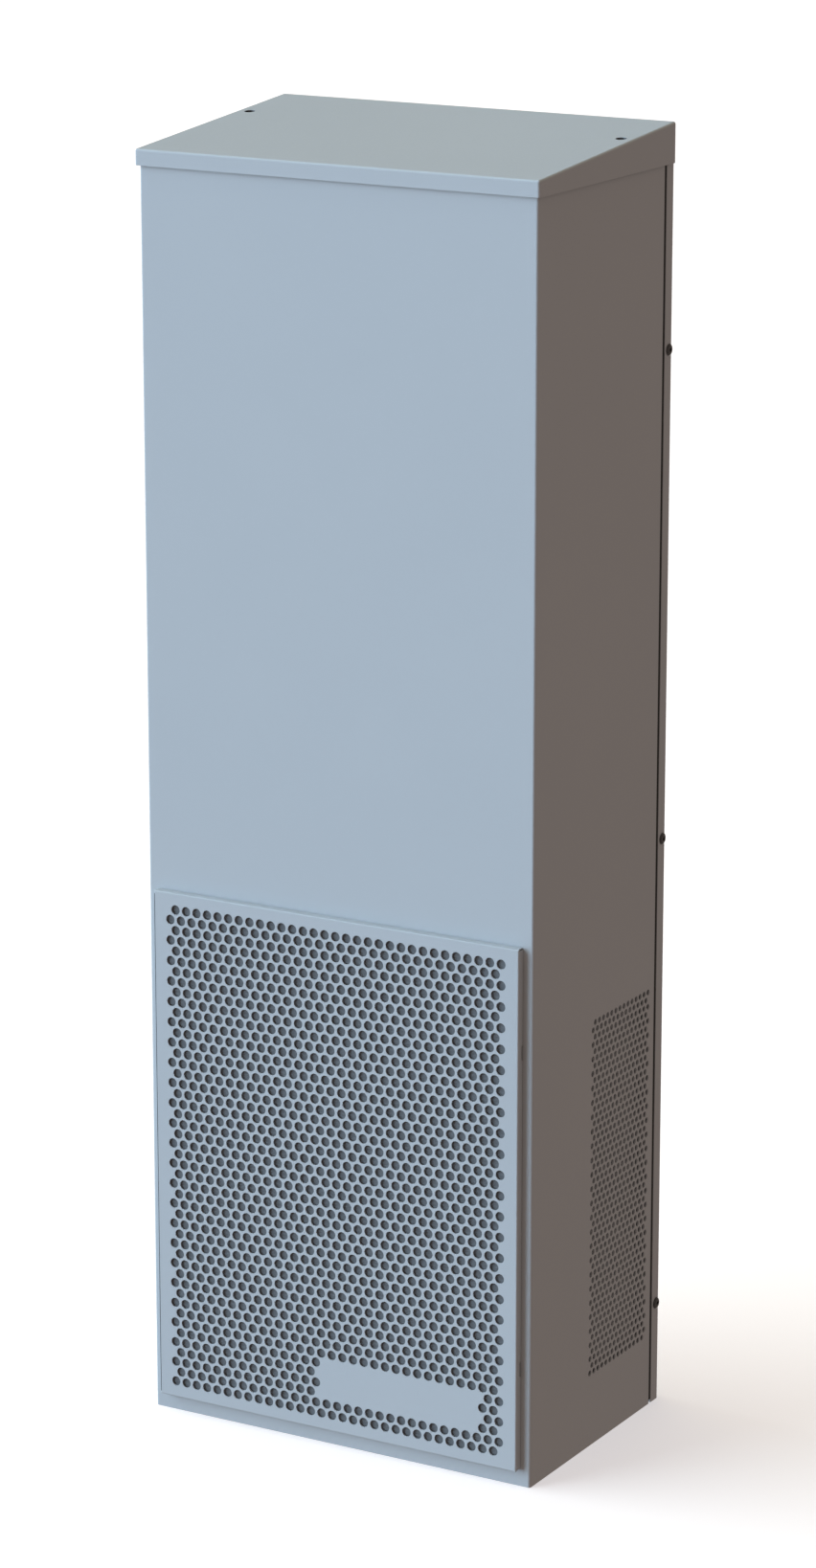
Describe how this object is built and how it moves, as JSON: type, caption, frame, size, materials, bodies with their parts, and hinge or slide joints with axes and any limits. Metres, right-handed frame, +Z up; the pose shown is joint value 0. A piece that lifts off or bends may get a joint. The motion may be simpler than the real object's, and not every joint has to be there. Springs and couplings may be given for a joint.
{
  "type": "enclosure air conditioner",
  "caption": "Slim wall-mounted cooling unit for electrical cabinets, with a sloping roof hood, a perforated pull-off front grille over its filter, side vents and rear air ports.",
  "frame": {"origin": "middle of the base, on the surface that the unit stands on", "axes": "+Z up, -Y towards the front grille, +Y towards the cabinet, +X to the right seen from the front"},
  "size_m": [0.359, 0.235, 1.0669],
  "materials": {
    "light_grey_paint": "fine-textured light grey powder coat",
    "galvanised_sheet": "zinc-coated sheet with a faint spangle",
    "zinc_hardware": "bright zinc plating",
    "black_screw": "black oxide, slightly oily",
    "bright_wire": "bright plated wire",
    "black_rubber": "matt black rubber",
    "grey_foam": "closed-cell foam",
    "filter_mat": "grey filter mat",
    "coil_aluminium": "bare extruded and brazed aluminium",
    "fan_plastic": "black moulded plastic",
    "tray_plastic": "moulded grey plastic",
    "board_green": "coated circuit board",
    "shaft_steel": "ground steel",
    "motor_paint": "black enamel",
    "copper_pipe": "drawn copper",
    "valve_brass": "turned brass",
    "clear_hose": "milky hose"
  },
  "bodies": {
    "housing": {"accumulator": "motor_paint", "base_tray": "galvanised_sheet", "compressor_foot_plate": "motor_paint", "compressor_grommets": "black_rubber", "compressor_shell": "motor_paint", "compressor_studs": "zinc_hardware", "compressor_terminal_cover": "fan_plastic", "condensate_tray": "tray_plastic", "condenser_fan_motor": "motor_paint", "condenser_feet": "galvanised_sheet", "condenser_fins": "coil_aluminium", "condenser_headers": "coil_aluminium", "condenser_motor_bracket": "galvanised_sheet", "condenser_tubes": "coil_aluminium", "contactor": "fan_plastic", "controller_board": "board_green", "cover_gasket": "black_rubber", "cover_screws": "black_screw", "discharge_pipe": "copper_pipe", "drain_bush": "black_rubber", "drain_tube": "clear_hose", "electrical_box": "galvanised_sheet", "electrical_box_lid": "galvanised_sheet", "evaporator_baffle": "galvanised_sheet", "evaporator_fan_motor": "motor_paint", "evaporator_fins": "coil_aluminium", "evaporator_headers": "coil_aluminium", "evaporator_motor_bracket": "galvanised_sheet", "evaporator_tubes": "coil_aluminium", "expansion_valve": "valve_brass", "fan_shroud": "galvanised_sheet", "filter_drier": "copper_pipe", "front_panel": "light_grey_paint", "grille_catches": "fan_plastic", "inlet_ring": "galvanised_sheet", "insulation_lining": "grey_foam", "intake_guard": "bright_wire", "lifting_bosses": "black_screw", "liquid_pipe": "copper_pipe", "mounting_gasket": "grey_foam", "mounting_nuts": "zinc_hardware", "partition_deck": "galvanised_sheet", "partition_seal": "grey_foam", "power_connector": "fan_plastic", "rear_frame": "light_grey_paint", "roof_hood": "light_grey_paint", "roof_screws": "zinc_hardware", "run_capacitor": "coil_aluminium", "side_panel_left": "light_grey_paint", "side_panel_right": "light_grey_paint", "suction_pipe": "copper_pipe", "top_plate": "galvanised_sheet"},
    "front_grille": {"front_grille": "light_grey_paint", "grille_pins": "fan_plastic", "air_filter": "filter_mat", "filter_retainer": "galvanised_sheet"},
    "condenser_fan": {"condenser_fan_rotor": "fan_plastic", "condenser_fan_shaft": "shaft_steel"},
    "evaporator_fan": {"evaporator_impeller": "fan_plastic", "evaporator_fan_shaft": "shaft_steel"}
  },
  "joints": [
    {"name": "grille_pull", "type": "slide", "parent": "housing", "child": "front_grille", "axis": [0, -1, 0], "range_m": [0, 0.06]},
    {"name": "condenser_fan_spin", "type": "hinge", "parent": "housing", "child": "condenser_fan", "pos_m": [0, 0, 0.33], "axis": [0, 1, 0], "continuous": true},
    {"name": "evaporator_fan_spin", "type": "hinge", "parent": "housing", "child": "evaporator_fan", "pos_m": [0, 0.04, 0.89], "axis": [0, 1, 0], "continuous": true}
  ]
}
